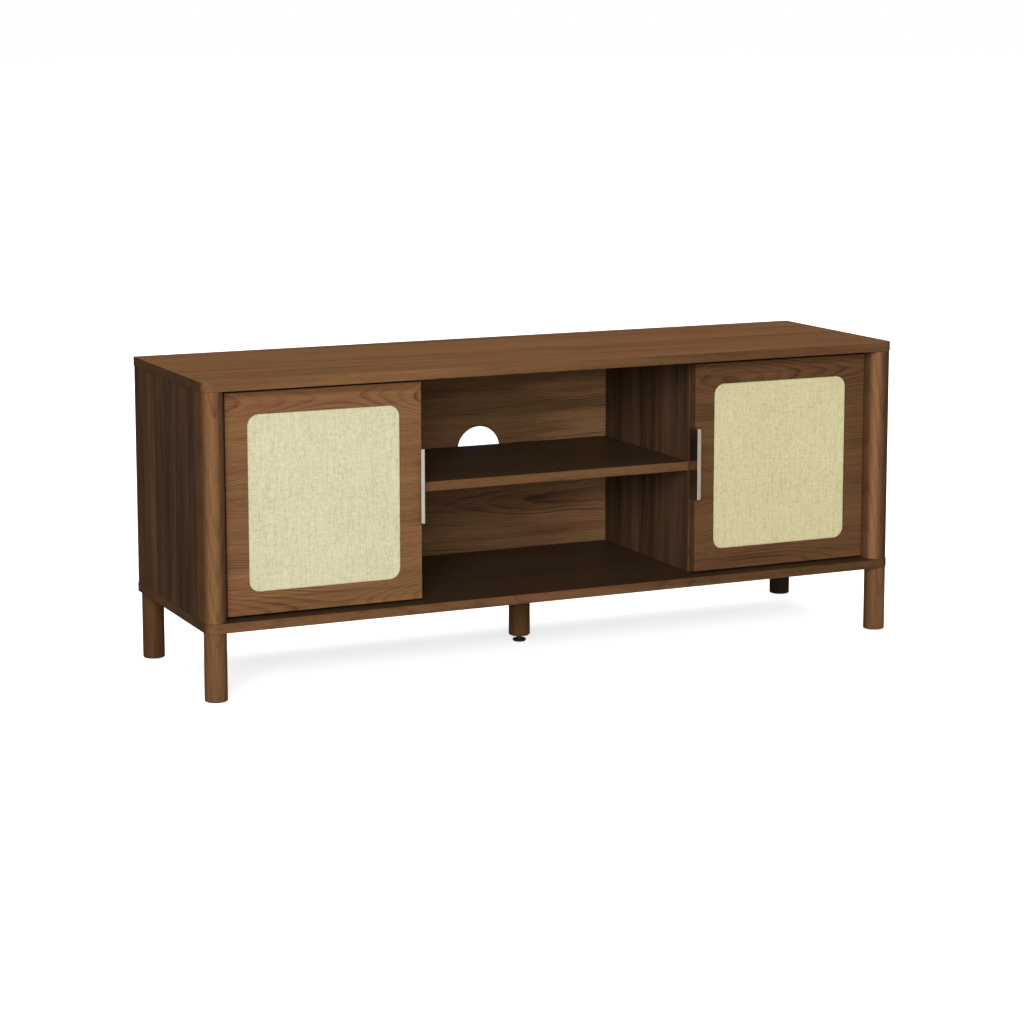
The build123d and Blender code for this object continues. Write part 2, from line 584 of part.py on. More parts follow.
for name, side in SIDES.items():
    with BuildPart() as door_panel:
        slab((side * DOOR_INNER_X, side * DOOR_OUTER_X), (DOOR_FACE, DOOR_BACK), DOOR_LOW, DOOR_HIGH)
        fillet(door_panel.faces().sort_by(Axis.Y)[0].edges(), ARRIS)
        fillet(door_panel.faces().sort_by(Axis.Y)[-1].edges(), ARRIS)
        with BuildSketch(facing_plane(DOOR_FACE + WINDOW_DEPTH)):
            window_outline(side, 0)
        extrude(amount=WINDOW_DEPTH, mode=Mode.SUBTRACT)
        for hinge_z in HINGE_HEIGHTS:
            drill((side * CUP_X, DOOR_BACK, hinge_z), FORWARD, CUP_R, CUP_DEPTH)
        for place in door_screw_places(side):
            screw_hole(place, FORWARD)
    save(door_panel, f"{name}_door_panel")

    with BuildPart() as woven_insert:
        with BuildSketch(facing_plane(INSERT_FACE + INSERT_THICKNESS)):
            window_outline(side, INSERT_PLAY)
        extrude(amount=INSERT_THICKNESS)
    save(woven_insert, f"{name}_woven_insert")

    with BuildPart() as insert_backing:
        with BuildSketch(facing_plane(DOOR_FACE + WINDOW_DEPTH)):
            window_outline(side, INSERT_PLAY)
        extrude(amount=WINDOW_DEPTH - INSERT_RECESS - INSERT_THICKNESS)
    save(insert_backing, f"{name}_insert_backing")

    # pull: one bent strip, a flange behind the door, a plate on its edge and a lip in front
    plate_x = DOOR_INNER_X - HANDLE_STRIP / 2
    lip_y = DOOR_FACE - HANDLE_REACH + HANDLE_STRIP / 2
    flange_y = DOOR_BACK + HANDLE_STRIP / 2
    with BuildPart() as handle:
        with BuildSketch(Plane.XY.offset(HANDLE_Z - HANDLE_LENGTH / 2)):
            with BuildLine():
                FilletPolyline(
                    (side * (DOOR_INNER_X - HANDLE_STRIP + HANDLE_LIP), lip_y),
                    (side * plate_x, lip_y),
                    (side * plate_x, flange_y),
                    (side * (DOOR_INNER_X + HANDLE_FLANGE), flange_y),
                    radius=HANDLE_STRIP / 2 + 0.05)
            trace(line_width=HANDLE_STRIP)
        extrude(amount=HANDLE_LENGTH)
        lip_corners = handle.edges().filter_by(Axis.Y).group_by(Axis.Y)[0]
        fillet(lip_corners.group_by(Axis.X)[-1 if side > 0 else 0], HANDLE_LIP_R)
        for place in handle_screw_places(side):
            drill(place, FORWARD, SCREW_R, HANDLE_STRIP)
    save(handle, f"{name}_handle")

    # hinge cups with their oval flanges, drilled for the pins
    cup_floor = DOOR_BACK - CUP_DEPTH
    with BuildPart() as hinge_cups:
        for hinge_z in HINGE_HEIGHTS:
            rod((side * CUP_X, DOOR_BACK, hinge_z), FORWARD, CUP_R - FIT_PLAY, CUP_DEPTH - FIT_PLAY)
            with BuildSketch(facing_plane(DOOR_BACK + CUP_FLANGE)):
                with Locations((side * CUP_X, hinge_z)):
                    Circle(CUP_R + CUP_RIM)
                    SlotOverall(2 * (CUP_SCREW_Z + CUP_EAR_LENGTH), CUP_EAR_WIDTH, rotation=90)
            extrude(amount=CUP_FLANGE)
        for hinge_z in HINGE_HEIGHTS:
            cavity = CUP_DEPTH + CUP_FLANGE - CUP_WALL - FIT_PLAY
            drill((side * CUP_X, DOOR_BACK + CUP_FLANGE, hinge_z), FORWARD, CUP_R - CUP_WALL, cavity)
            drill((side * HINGE_X, HINGE_Y, hinge_z - CUP_R), UP, HINGE_PIN_R, 2 * CUP_R)
        for place in cup_screw_places(side):
            drill(place, FORWARD, SCREW_R, CUP_FLANGE)
    save(hinge_cups, f"{name}_hinge_cups")

    with BuildPart() as hinge_pins:
        for hinge_z in HINGE_HEIGHTS:
            pin_low = hinge_z - HINGE_PIN_HALF_LENGTH
            rod((side * HINGE_X, HINGE_Y, pin_low), UP, HINGE_PIN_R, 2 * HINGE_PIN_HALF_LENGTH)
    save(hinge_pins, f"{name}_hinge_pins")

    with BuildPart() as hinge_arms:
        for hinge_z in HINGE_HEIGHTS:
            with BuildSketch(Plane.XY.offset(hinge_z - HINGE_ARM_HALF_WIDTH)):
                with BuildLine():
                    FilletPolyline(*hinge_arm_path(side), radius=HINGE_ARM_BEND_R)
                trace(line_width=HINGE_ARM)
                with Locations((side * HINGE_X, HINGE_Y)):
                    Circle(HINGE_KNUCKLE_R)
                    Circle(HINGE_PIN_R + RUNNING_PLAY, mode=Mode.SUBTRACT)
            extrude(amount=2 * HINGE_ARM_HALF_WIDTH)
        for hinge_z in HINGE_HEIGHTS:
            leaf_face = (side * (SIDE_IN_X - HINGE_PLATE - HINGE_ARM), ARM_SCREW_Y, hinge_z)
            drill(leaf_face, outward(side), SCREW_R, HINGE_ARM)
    save(hinge_arms, f"{name}_hinge_arms")

    with BuildPart() as hinge_plates:
        for hinge_z in HINGE_HEIGHTS:
            plate_range = (side * (SIDE_IN_X - HINGE_PLATE), side * SIDE_IN_X)
            slab(plate_range, PLATE_Y, hinge_z - PLATE_HALF_HEIGHT, hinge_z + PLATE_HALF_HEIGHT)
        fillet(hinge_plates.edges().filter_by(Axis.X), HINGE_PLATE_R)
        for hinge_z in HINGE_HEIGHTS:
            for y, z in ((PLATE_SCREW_Y, hinge_z - PLATE_SCREW_Z),
                         (PLATE_SCREW_Y, hinge_z + PLATE_SCREW_Z), (ARM_SCREW_Y, hinge_z)):
                drill((side * (SIDE_IN_X - HINGE_PLATE), y, z), outward(side), SCREW_R, HINGE_PLATE)
    save(hinge_plates, f"{name}_hinge_plates")

    # magnetic catch on the divider, its magnet, and the strike on the door
    catch_x = DIVIDER_OUT_X + CATCH_THICKNESS / 2
    with BuildPart() as catch_body:
        core_x = (side * DIVIDER_OUT_X, side * (DIVIDER_OUT_X + CATCH_THICKNESS))
        ear_x = (side * DIVIDER_OUT_X, side * (DIVIDER_OUT_X + CATCH_EAR))
        slab(core_x, CATCH_Y, CATCH_Z - CATCH_HALF_CORE, CATCH_Z + CATCH_HALF_CORE)
        fillet(catch_body.edges().filter_by(Axis.Z), CATCH_EDGE_R)
        slab(ear_x, CATCH_Y, CATCH_Z - CATCH_HALF_LENGTH, CATCH_Z + CATCH_HALF_LENGTH)
        magnet_x = (side * (catch_x - MAGNET_HALF_WIDTH), side * (catch_x + MAGNET_HALF_WIDTH))
        slab(magnet_x, (CATCH_Y[0], MAGNET_REAR), CATCH_Z - MAGNET_HALF_HEIGHT,
             CATCH_Z + MAGNET_HALF_HEIGHT, Mode.SUBTRACT)
        for step in (-1, 1):
            ear_face = (side * (DIVIDER_OUT_X + CATCH_EAR), CATCH_SCREW_Y, CATCH_Z + step * CATCH_SCREW_Z)
            drill(ear_face, inward(side), SCREW_R, CATCH_EAR)
    save(catch_body, f"{name}_catch_body")

    with BuildPart() as catch_magnet:
        slab(magnet_x, (MAGNET_FRONT, MAGNET_REAR), CATCH_Z - MAGNET_HALF_HEIGHT,
             CATCH_Z + MAGNET_HALF_HEIGHT)
        groove_x = (side * (catch_x - MAGNET_GROOVE_HALF), side * (catch_x + MAGNET_GROOVE_HALF))
        slab(groove_x, (MAGNET_FRONT, MAGNET_FRONT + MAGNET_GROOVE_DEPTH), CATCH_Z - MAGNET_HALF_HEIGHT,
             CATCH_Z + MAGNET_HALF_HEIGHT, Mode.SUBTRACT)
    save(catch_magnet, f"{name}_catch_magnet")

    with BuildPart() as catch_strike:
        strike_range = [side * x for x in STRIKE_X]
        slab(strike_range, (DOOR_BACK, DOOR_BACK + STRIKE), CATCH_Z - STRIKE_HALF_HEIGHT,
             CATCH_Z + STRIKE_HALF_HEIGHT)
        fillet(catch_strike.edges().filter_by(Axis.Y), STRIKE_R)
        drill((side * STRIKE_SCREW_X, DOOR_BACK + STRIKE, CATCH_Z), FORWARD, SCREW_R, STRIKE)
    save(catch_strike, f"{name}_catch_strike")

    with BuildPart() as door_buffers:
        buffer_length = BOARD_FRONT - DOOR_BACK - BUFFER_PLAY
        for z in (DOOR_LOW + BUFFER_FROM_END, DOOR_HIGH - BUFFER_FROM_END):
            rod((side * (DIVIDER_X + BOARD / 2), DOOR_BACK, z), BACKWARD, BUFFER_R, buffer_length)
        fillet(door_buffers.faces().filter_by(Plane.XZ).group_by(Axis.Y)[-1].edges(), BUFFER_EDGE_R)
    save(door_buffers, f"{name}_door_buffers")

    with BuildPart() as door_screws:
        for place in door_screw_places(side):
            pan_screw(place, FORWARD)
    save(door_screws, f"{name}_door_screws")

    with BuildPart() as cabinet_screws:
        plate_x = side * (SIDE_IN_X - HINGE_PLATE)
        for hinge_z in HINGE_HEIGHTS:
            for step in (-1, 1):
                pan_screw((plate_x, PLATE_SCREW_Y, hinge_z + step * PLATE_SCREW_Z), outward(side))
            pan_screw((plate_x - side * HINGE_ARM, ARM_SCREW_Y, hinge_z), outward(side))
        for step in (-1, 1):
            ear_face = (side * (DIVIDER_OUT_X + CATCH_EAR), CATCH_SCREW_Y, CATCH_Z + step * CATCH_SCREW_Z)
            pan_screw(ear_face, inward(side))
    save(cabinet_screws, f"{name}_cabinet_screws")
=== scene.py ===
import math

import bmesh
import bpy
import numpy as np
from mathutils import Matrix, Vector


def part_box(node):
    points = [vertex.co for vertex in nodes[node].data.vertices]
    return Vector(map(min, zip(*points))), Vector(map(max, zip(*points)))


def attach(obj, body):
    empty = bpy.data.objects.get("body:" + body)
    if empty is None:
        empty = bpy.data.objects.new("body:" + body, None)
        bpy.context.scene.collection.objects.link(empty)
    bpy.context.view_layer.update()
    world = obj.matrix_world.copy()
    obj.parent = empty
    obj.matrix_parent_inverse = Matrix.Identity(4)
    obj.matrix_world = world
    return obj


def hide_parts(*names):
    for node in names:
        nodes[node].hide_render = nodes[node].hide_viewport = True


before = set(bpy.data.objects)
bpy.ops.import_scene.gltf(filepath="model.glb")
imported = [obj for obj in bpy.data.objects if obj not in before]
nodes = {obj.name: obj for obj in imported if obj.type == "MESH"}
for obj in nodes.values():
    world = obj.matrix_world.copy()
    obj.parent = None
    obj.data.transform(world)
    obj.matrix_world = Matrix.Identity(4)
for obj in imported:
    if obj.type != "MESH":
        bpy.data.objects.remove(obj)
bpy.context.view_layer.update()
scene = bpy.context.scene

# ---- camera and light ----------------------------------------------------------------------------
CAMERA_PLACE = (-1.8353, -3.9450, 1.0230)
CAMERA_YAW = 24.740      # degrees, turned right from straight at the back
CAMERA_PITCH = 8.373     # degrees, down
CAMERA_ROLL = -0.053     # degrees
LENS = 95.01             # mm, on a sensor 36 mm wide
SHIFT_Y = -100 / 1024    # of the frame's width; the pitch does the rest

camera_data = bpy.data.cameras.new("camera")
camera_data.sensor_width = 36
camera_data.lens = LENS
camera_data.shift_y = SHIFT_Y
camera_data.clip_end = 200
camera = bpy.data.objects.new("camera", camera_data)
camera.location = CAMERA_PLACE
turn = Matrix.Rotation(math.radians(-CAMERA_YAW), 3, "Z")
tip = Matrix.Rotation(math.radians(90 - CAMERA_PITCH), 3, "X")
roll = Matrix.Rotation(math.radians(CAMERA_ROLL), 3, "Z")
camera.rotation_euler = (turn @ tip @ roll).to_euler()
scene.collection.objects.link(camera)
scene.camera = camera

scene.view_settings.view_transform = "Standard"
scene.view_settings.look = "None"
scene.view_settings.exposure = 0
scene.view_settings.gamma = 1


def sun(name, strength, azimuth, elevation, spread, in_gloss=True):
    """Light from azimuth (0 is from the front, positive from the right) and elevation, in degrees."""
    data = bpy.data.lights.new(name, "SUN")
    data.energy = strength
    data.angle = math.radians(spread)
    lamp = bpy.data.objects.new(name, data)
    a = math.radians(azimuth)
    e = math.radians(elevation)
    towards = Vector((math.sin(a) * math.cos(e), -math.cos(a) * math.cos(e), math.sin(e)))
    lamp.rotation_mode = "QUATERNION"
    lamp.rotation_quaternion = towards.to_track_quat("Z", "Y")
    lamp.visible_glossy = in_gloss
    scene.collection.objects.link(lamp)


sun("key", strength=2.50, azimuth=-26, elevation=20, spread=34)
sun("overhead", strength=2.45, azimuth=175, elevation=66, spread=50, in_gloss=False)

FRONT_GLOW = 0.52        # soft light from in front of the object
BACK_GLOW = 0.08         # and from behind it
GLOW_FROM = -0.5         # the directions, as Y of a unit vector, between which it falls off
GLOW_TO = 0.3
WHITE = (1, 1, 1, 1)


def studio_world():
    """White where the camera looks past the object; a glow from the front as light on it."""
    world = bpy.data.worlds.new("studio")
    scene.world = world
    world.use_nodes = True
    tree = world.node_tree
    tree.nodes.clear()
    output = tree.nodes.new("ShaderNodeOutputWorld")
    path = tree.nodes.new("ShaderNodeLightPath")
    direction = tree.nodes.new("ShaderNodeTexCoord")
    split = tree.nodes.new("ShaderNodeSeparateXYZ")
    falloff = tree.nodes.new("ShaderNodeMapRange")
    falloff.interpolation_type = "SMOOTHSTEP"
    falloff.inputs["From Min"].default_value = GLOW_FROM
    falloff.inputs["From Max"].default_value = GLOW_TO
    falloff.inputs["To Min"].default_value = FRONT_GLOW
    falloff.inputs["To Max"].default_value = BACK_GLOW
    glow = tree.nodes.new("ShaderNodeBackground")
    glow.inputs["Color"].default_value = WHITE
    backdrop = tree.nodes.new("ShaderNodeBackground")
    backdrop.inputs["Color"].default_value = WHITE
    choose = tree.nodes.new("ShaderNodeMixShader")
    tree.links.new(direction.outputs["Generated"], split.inputs[0])
    tree.links.new(split.outputs["Y"], falloff.inputs["Value"])
    tree.links.new(falloff.outputs[0], glow.inputs["Strength"])
    tree.links.new(path.outputs["Is Camera Ray"], choose.inputs[0])
    tree.links.new(glow.outputs[0], choose.inputs[1])
    tree.links.new(backdrop.outputs[0], choose.inputs[2])
    tree.links.new(choose.outputs[0], output.inputs["Surface"])


studio_world()


# ---- shader graph helper -------------------------------------------------------------------------
X, Y, Z = 0, 1, 2        # the row's axes by number


class Graph:
    """A material under construction; most methods add nodes and return the last one's output."""

    def __init__(self, name):
        self.material = bpy.data.materials.new(name)
        self.material.use_nodes = True
        self.tree = self.material.node_tree
        self.tree.nodes.clear()
        self.output = self.tree.nodes.new("ShaderNodeOutputMaterial")

    def put(self, socket, value):
        if isinstance(value, bpy.types.NodeSocket):
            self.tree.links.new(value, socket)
        else:
            socket.default_value = value

    def node(self, kind, **values):
        made = self.tree.nodes.new(kind)
        for key, value in values.items():
            setattr(made, key, value)
        return made

    def math(self, operation, a, b=0.0):
        made = self.node("ShaderNodeMath", operation=operation)
        self.put(made.inputs[0], a)
        self.put(made.inputs[1], b)
        return made.outputs[0]

    def add(self, a, b):
        return self.math("ADD", a, b)

    def less(self, a, b):
        return self.math("SUBTRACT", a, b)

    def times(self, a, b):
        return self.math("MULTIPLY", a, b)

    def place(self):
        """Where on the object, in metres in the row's frame at rest."""
        return self.node("ShaderNodeTexCoord").outputs["Object"]

    def vector(self, x, y, z):
        made = self.node("ShaderNodeCombineXYZ")
        self.put(made.inputs[0], x)
        self.put(made.inputs[1], y)
        self.put(made.inputs[2], z)
        return made.outputs[0]

    def axes(self, vector):
        made = self.node("ShaderNodeSeparateXYZ")
        self.put(made.inputs[0], vector)
        return made.outputs[0], made.outputs[1], made.outputs[2]

    def stretch(self, vector, scale, offset=(0, 0, 0)):
        made = self.node("ShaderNodeMapping")
        self.put(made.inputs["Vector"], vector)
        made.inputs["Location"].default_value = offset
        made.inputs["Scale"].default_value = scale
        return made.outputs[0]

    def noise(self, vector, detail=3.0, roughness=0.55):
        made = self.node("ShaderNodeTexNoise")
        self.put(made.inputs["Vector"], vector)
        made.inputs["Scale"].default_value = 1.0
        made.inputs["Detail"].default_value = detail
        made.inputs["Roughness"].default_value = roughness
        return made.outputs["Fac"]

    def ramp(self, value, stops):
        """Grey or colour by value; stops are pairs of a place and a grey or colour."""
        made = self.node("ShaderNodeValToRGB")
        elements = made.color_ramp.elements
        while len(elements) < len(stops):
            elements.new(0.5)
        for element, (place, colour) in zip(elements, stops):
            element.position = place
            if isinstance(colour, (int, float)):
                colour = (colour, colour, colour)
            element.color = (*colour, 1)
        self.put(made.inputs[0], value)
        return made.outputs[0]

    def spread(self, value, low, high, to_low=0.0, to_high=1.0):
        """The range low to high stretched over to_low to to_high, and clamped."""
        made = self.node("ShaderNodeMapRange", clamp=True)
        self.put(made.inputs["Value"], value)
        made.inputs["From Min"].default_value = low
        made.inputs["From Max"].default_value = high
        made.inputs["To Min"].default_value = to_low
        made.inputs["To Max"].default_value = to_high
        return made.outputs[0]

    def mix(self, amount, a, b, blend="MIX"):
        made = self.node("ShaderNodeMix", data_type="RGBA", blend_type=blend)
        self.put(made.inputs[0], amount)
        self.put(made.inputs[6], a if isinstance(a, bpy.types.NodeSocket) else (*a, 1))
        self.put(made.inputs[7], b if isinstance(b, bpy.types.NodeSocket) else (*b, 1))
        return made.outputs[2]

    def swing(self, vector, scale, amount, offset=0.0, detail=3.0, roughness=0.55):
        """Stretched noise as a swing of about half of amount each way round 0."""
        noise = self.noise(self.stretch(vector, scale, (offset, 0, 0)), detail, roughness)
        return self.times(self.less(self.spread(noise, 0.30, 0.70), 0.5), amount)

    def soft_edge(self, radius):
        """The normal, rounded at edges over radius."""
        made = self.node("ShaderNodeBevel", samples=4)
        made.inputs["Radius"].default_value = radius
        return made.outputs[0]

    def edge_mask(self, radius):
        """1 along convex and concave edges, 0 on flats."""
        flat = self.node("ShaderNodeNewGeometry").outputs["Normal"]
        dot = self.node("ShaderNodeVectorMath", operation="DOT_PRODUCT")
        self.put(dot.inputs[0], self.soft_edge(radius))
        self.put(dot.inputs[1], flat)
        return self.spread(self.less(1.0, dot.outputs["Value"]), 0.02, 0.25)

    def bump(self, height, distance, strength, normal=None):
        made = self.node("ShaderNodeBump")
        self.put(made.inputs["Height"], height)
        made.inputs["Distance"].default_value = distance
        made.inputs["Strength"].default_value = strength
        if normal is not None:
            self.put(made.inputs["Normal"], normal)
        return made.outputs[0]

    def finish(self, colour, roughness, normal, metallic=None, **constants):
        """The principled shader; constants are set on its sockets, with _ for a space."""
        shader = self.node("ShaderNodeBsdfPrincipled")
        if metallic is not None:
            self.put(shader.inputs["Metallic"], metallic)
        self.put(shader.inputs["Base Color"], colour)
        self.put(shader.inputs["Roughness"], roughness)
        self.put(shader.inputs["Normal"], normal)
        for key, value in constants.items():
            shader.inputs[key.replace("_", " ")].default_value = value
        self.tree.links.new(shader.outputs[0], self.output.inputs["Surface"])
        return self.material


# ---- walnut --------------------------------------------------------------------------------------
WALNUT = (0.205, 0.099, 0.0435)
GLOSS = 0.08
GLOSS_TINT = (0.90, 0.66, 0.48, 1)
BOW_WIDTH = 0.045        # half the length of a cathedral's tip or of an eye
RIPPLE = 0.0034          # how far small ripples push a ring
FIRST_RING = 40.0        # keeps the rings' numbers above 0
EDGE_ROUNDING = 0.0009   # radius of an edge in the light alone, not in the mesh

# the steps of the wood's colour, as gains on its middle tone
DARK = (0.38, 0.37, 0.40)
DEEP = (0.68, 0.67, 0.68)
PALE = (1.26, 1.28, 1.26)
GLOW = (1.60, 1.62, 1.58)

# how dark a ring's wood is, over one ring
LATE_WOOD = ((0.0, 0.20), (0.10, 0.0), (0.50, 0.10), (0.78, 0.70), (0.90, 1.0), (1.0, 0.20))

# a slow drift of the hue along the grain, between reddish and olive
RED_CAST = (1.05, 0.96, 1.02)
OLIVE_CAST = (0.95, 1.03, 0.92)

# painted shade across each post, darker on its flanks, from its left flank (0) over its round front to
# its right flank (1)
LEFT_POST_PAINTED_SHADE = ((0.0, 0.44), (0.06, 0.55), (0.12, 0.77), (0.22, 0.87), (0.34, 0.97), (0.47, 0.88),
                    (0.61, 0.70), (0.72, 0.48), (1.0, 0.46))
RIGHT_POST_PAINTED_SHADE = ((0.0, 0.66), (0.02, 0.76), (0.06, 0.95), (0.115, 1.0), (0.23, 0.88), (0.30, 0.65),
                     (0.39, 0.52), (0.50, 0.37), (0.62, 0.29), (1.0, 0.25))


def toned(colour, gains):
    return [c * gain for c, gain in zip(colour, gains)]


def walnut(name, along, across, depth, tone=1.0, edge_tone=None, end_tone=0.5, heart=0.0, centre=0.0,
           under=0.035, slope=0.02, bow=0.0, fold=1.0, ring=0.0034, warp=0.010, figure=1.0, streaks=1.0,
           painted_shade_and_tone=None, hue=(1, 1, 1), painted_light=None, fade=None, ripples=1.0, seed=0.0):
    """Flat-sawn walnut. along, across and depth say which axes (0, 1, 2) the grain, the face's width
    and the face's normal follow. tone and hue set the colour, and figure and streaks how strong the
    rings and the streaks between them are. heart is where across the face the log's middle lies, and
    under how far behind it. ring is a ring's width, and warp and ripples how unsteady it is. slope
    makes the rings run out of the face along the grain. fold mirrors them at that distance from the
    heart. bow closes them into an eye round centre where it is positive, and into two facing
    cathedrals where it is negative. edge_tone gives the board's front and rear edges a tone of their
    own and end_tone its ends, and fade (from, to, gain) shades the front edge along the grain.
    painted_light (from, to, gain) lightens the face along the grain, as painted light.
    painted_shade_and_tone (from, to, shades) multiplies it by a ramp across the grain: painted shade on
    the posts, the dividers and the back, and the left door's own tone."""
    g = Graph(name)
    coordinates = g.node("ShaderNodeTexCoord")
    xyz = g.axes(coordinates.outputs["Object"])
    u, v, w = xyz[along], xyz[across], xyz[depth]
    grain = g.vector(g.add(u, seed), g.add(v, seed * 0.37), w)

    sway = g.less(g.noise(g.stretch(grain, (2.6, 8.0, 8.0)), detail=2.0, roughness=0.5), 0.5)
    ripple_noise = g.noise(g.stretch(grain, (32.0, 60.0, 60.0), (3.1, 0, 0)), detail=2.0)
    ripple = g.less(ripple_noise, 0.5)
    from_heart = g.math("PINGPONG", g.less(v, heart), fold)
    from_heart = g.add(from_heart, g.times(sway, warp * 2.4))
    radius = g.math("SQRT", g.add(g.times(from_heart, from_heart), under * under))
    from_centre = g.less(u, centre)
    tip = g.math("SQRT", g.add(g.times(from_centre, from_centre), BOW_WIDTH ** 2))
    rings = g.add(g.less(radius, g.times(u, slope)), g.times(tip, bow))
    rings = g.add(rings, g.times(sway, warp * 1.8))
    rings = g.add(rings, g.times(ripple, RIPPLE * ripples))
    count = g.add(g.times(rings, 1.0 / ring), FIRST_RING + seed)
    phase = g.math("FRACT", count)
    year = g.node("ShaderNodeTexWhiteNoise", noise_dimensions="1D")
    g.put(year.inputs["W"], g.math("FLOOR", count))
    late_wood = g.ramp(phase, LATE_WOOD)
    patches = g.noise(g.stretch(grain, (5.0, 18.0, 18.0), (9.7, 0, 0)), detail=2.0)
    late_wood = g.times(late_wood, g.spread(patches, 0.36, 0.64, 0.25, 1.0))
    late_wood = g.times(late_wood, g.spread(year.outputs["Value"], 0.0, 1.0, 0.35, 1.55))

    streak = g.swing(grain, (3.2, 95.0, 95.0), 0.26 * streaks, 1.7, detail=4.0, roughness=0.6)
    fibre = g.swing(grain, (16.0, 520.0, 520.0), 0.26, 0.0, roughness=0.65)
    pore_noise = g.noise(g.stretch(grain, (75.0, 1700.0, 1700.0)), detail=1.0)
    pores = g.spread(pore_noise, 0.58, 0.70)
    shade = g.add(0.5, g.swing(grain, (1.6, 11.0, 11.0), 0.16 * streaks, 5.3, detail=2.0))
    shade = g.add(shade, g.swing(grain, (2.1, 36.0, 36.0), 0.24 * streaks, 8.9, detail=2.0))
    shade = g.add(g.add(shade, streak), fibre)
    shade = g.less(g.add(shade, 0.08 * figure), g.times(late_wood, 0.36 * figure))

    base = [c * tone * h for c, h in zip(WALNUT, hue)]
    dark = toned(base, DARK)
    glow = toned(base, GLOW)
    colour = g.ramp(shade, ((0.0, dark), (0.25, toned(base, DEEP)), (0.50, base),
                            (0.75, toned(base, PALE)), (1.0, glow)))
    cast_noise = g.noise(g.stretch(grain, (4.0, 50.0, 50.0), (6.6, 0, 0)), detail=2.0)
    cast = g.ramp(cast_noise, ((0.36, RED_CAST), (0.64, OLIVE_CAST)))
    colour = g.mix(1.0, colour, cast, "MULTIPLY")
    colour = g.mix(g.times(pores, 0.50), colour, dark)
    if edge_tone is not None:
        normal = g.axes(coordinates.outputs["Normal"])
        on_edge = g.spread(g.math("ABSOLUTE", normal[depth]), 0.30, 0.60, 1.0, 0.0)
        on_front = g.spread(g.math("ABSOLUTE", normal[across]), 0.15, 0.75)
        front_band = [c * edge_tone / b for c, b in zip(WALNUT, base)]
        if fade is not None:
            low, high, gain = fade
            front_band = g.mix(g.spread(u, low, high), front_band, [c * gain for c in front_band])
        end_band = [c * end_tone / b for c, b in zip(WALNUT, base)]
        bands = g.mix(on_front, end_band, front_band)
        colour = g.mix(on_edge, colour, bands, "MULTIPLY")
    # painted light: lightens the face along the grain
    if painted_light is not None:
        low, high, gain = painted_light
        wander = g.add(u, g.swing(grain, (3.0, 30.0, 30.0), 0.25, 4.4))
        lighter = g.mix(1.0, colour, [gain] * 3, "MULTIPLY")
        colour = g.mix(g.spread(wander, low, high), colour, lighter)
    # a ramp across the grain: painted shade on the posts, the dividers and the back, and the left door's
    # own tone
    if painted_shade_and_tone is not None:
        low, high, shades = painted_shade_and_tone
        colour = g.mix(1.0, colour, g.ramp(g.spread(v, low, high), shades), "MULTIPLY")
    # painted highlight: edges lightened towards the palest tone of the wood
    colour = g.mix(g.times(g.edge_mask(0.0011), 0.25), colour, glow)

    roughness = g.add(g.add(0.46, g.times(streak, 0.30)), g.times(pores, 0.18))
    height = g.less(g.times(fibre, 2.0), pores)
    height = g.less(height, g.times(late_wood, 0.25))
    normal = g.bump(height, 0.00012, 0.45, g.soft_edge(EDGE_ROUNDING))
    return g.finish(colour, roughness, normal, Specular_IOR_Level=GLOSS, Specular_Tint=GLOSS_TINT)


# ---- metals, plastics and the rest ---------------------------------------------------------------
def metal(name, colour, roughness, across=None, grain=0.0, matt_front=0.0):
    """Plated metal, or brushed metal where across is given, the axis that the brushing crosses. grain
    is how coarse the brushing is, and matt_front how much of the shine is brushed away on the faces
    that look to the front."""
    g = Graph(name)
    place = g.place()
    if across is None:
        scale = (900.0, 900.0, 900.0)
    else:
        scale = [60.0, 60.0, 60.0]
        scale[across] = 5200.0
    lines = g.noise(g.stretch(place, scale), detail=4.0, roughness=0.6)
    cloud = g.noise(g.stretch(place, (70.0, 70.0, 70.0)), detail=3.0)
    edge = g.edge_mask(0.0004)
    shade = g.add(0.86, g.times(lines, 0.16))
    shade = g.add(shade, g.times(g.less(cloud, 0.5), 0.16))
    dull = [c * 0.55 for c in colour]
    tint = g.mix(g.spread(shade, 0.7, 1.08), dull, colour)
    # painted highlight: edges lightened
    tint = g.mix(g.times(edge, 0.25), tint, [min(1.0, c * 1.18) for c in colour])
    rough = g.add(roughness, g.times(g.less(lines, 0.5), 0.16 + grain))
    rough = g.add(rough, g.times(g.less(cloud, 0.5), 0.05))
    normal = g.bump(lines, 0.00003, 0.35 + grain, g.soft_edge(0.0003))
    if matt_front > 0:
        front = g.math("ABSOLUTE", g.axes(g.node("ShaderNodeTexCoord").outputs["Normal"])[Y])
        front = g.spread(front, 0.4, 0.9)
        rough = g.add(rough, g.times(front, 0.16))
        shine = g.less(1.0, g.times(front, matt_front))
        return g.finish(tint, rough, normal, metallic=shine)
    return g.finish(tint, rough, normal, Metallic=1.0)


def moulded(name, colour, roughness, speck=900.0, specular=0.45):
    """Moulded plastic or rubber with a fine spark-eroded skin."""
    g = Graph(name)
    place = g.place()
    skin = g.noise(g.stretch(place, (speck, speck, speck)), detail=3.0, roughness=0.6)
    cloud = g.noise(g.stretch(place, (55.0, 55.0, 55.0)), detail=3.0)
    edge = g.edge_mask(0.0006)
    low = [c * 0.70 for c in colour]
    high = [c * 1.45 + 0.004 for c in colour]
    shade = g.add(g.times(skin, 0.55), g.times(cloud, 0.45))
    tint = g.mix(g.spread(shade, 0.3, 0.7), low, high)
    # painted highlight: edges lightened
    tint = g.mix(g.times(edge, 0.35), tint, [c * 2.0 + 0.012 for c in colour])
    rough = g.add(roughness, g.times(g.less(cloud, 0.5), 0.25))
    normal = g.bump(skin, 0.00006, 0.5, g.soft_edge(0.0005))
    return g.finish(tint, rough, normal, Specular_IOR_Level=specular)


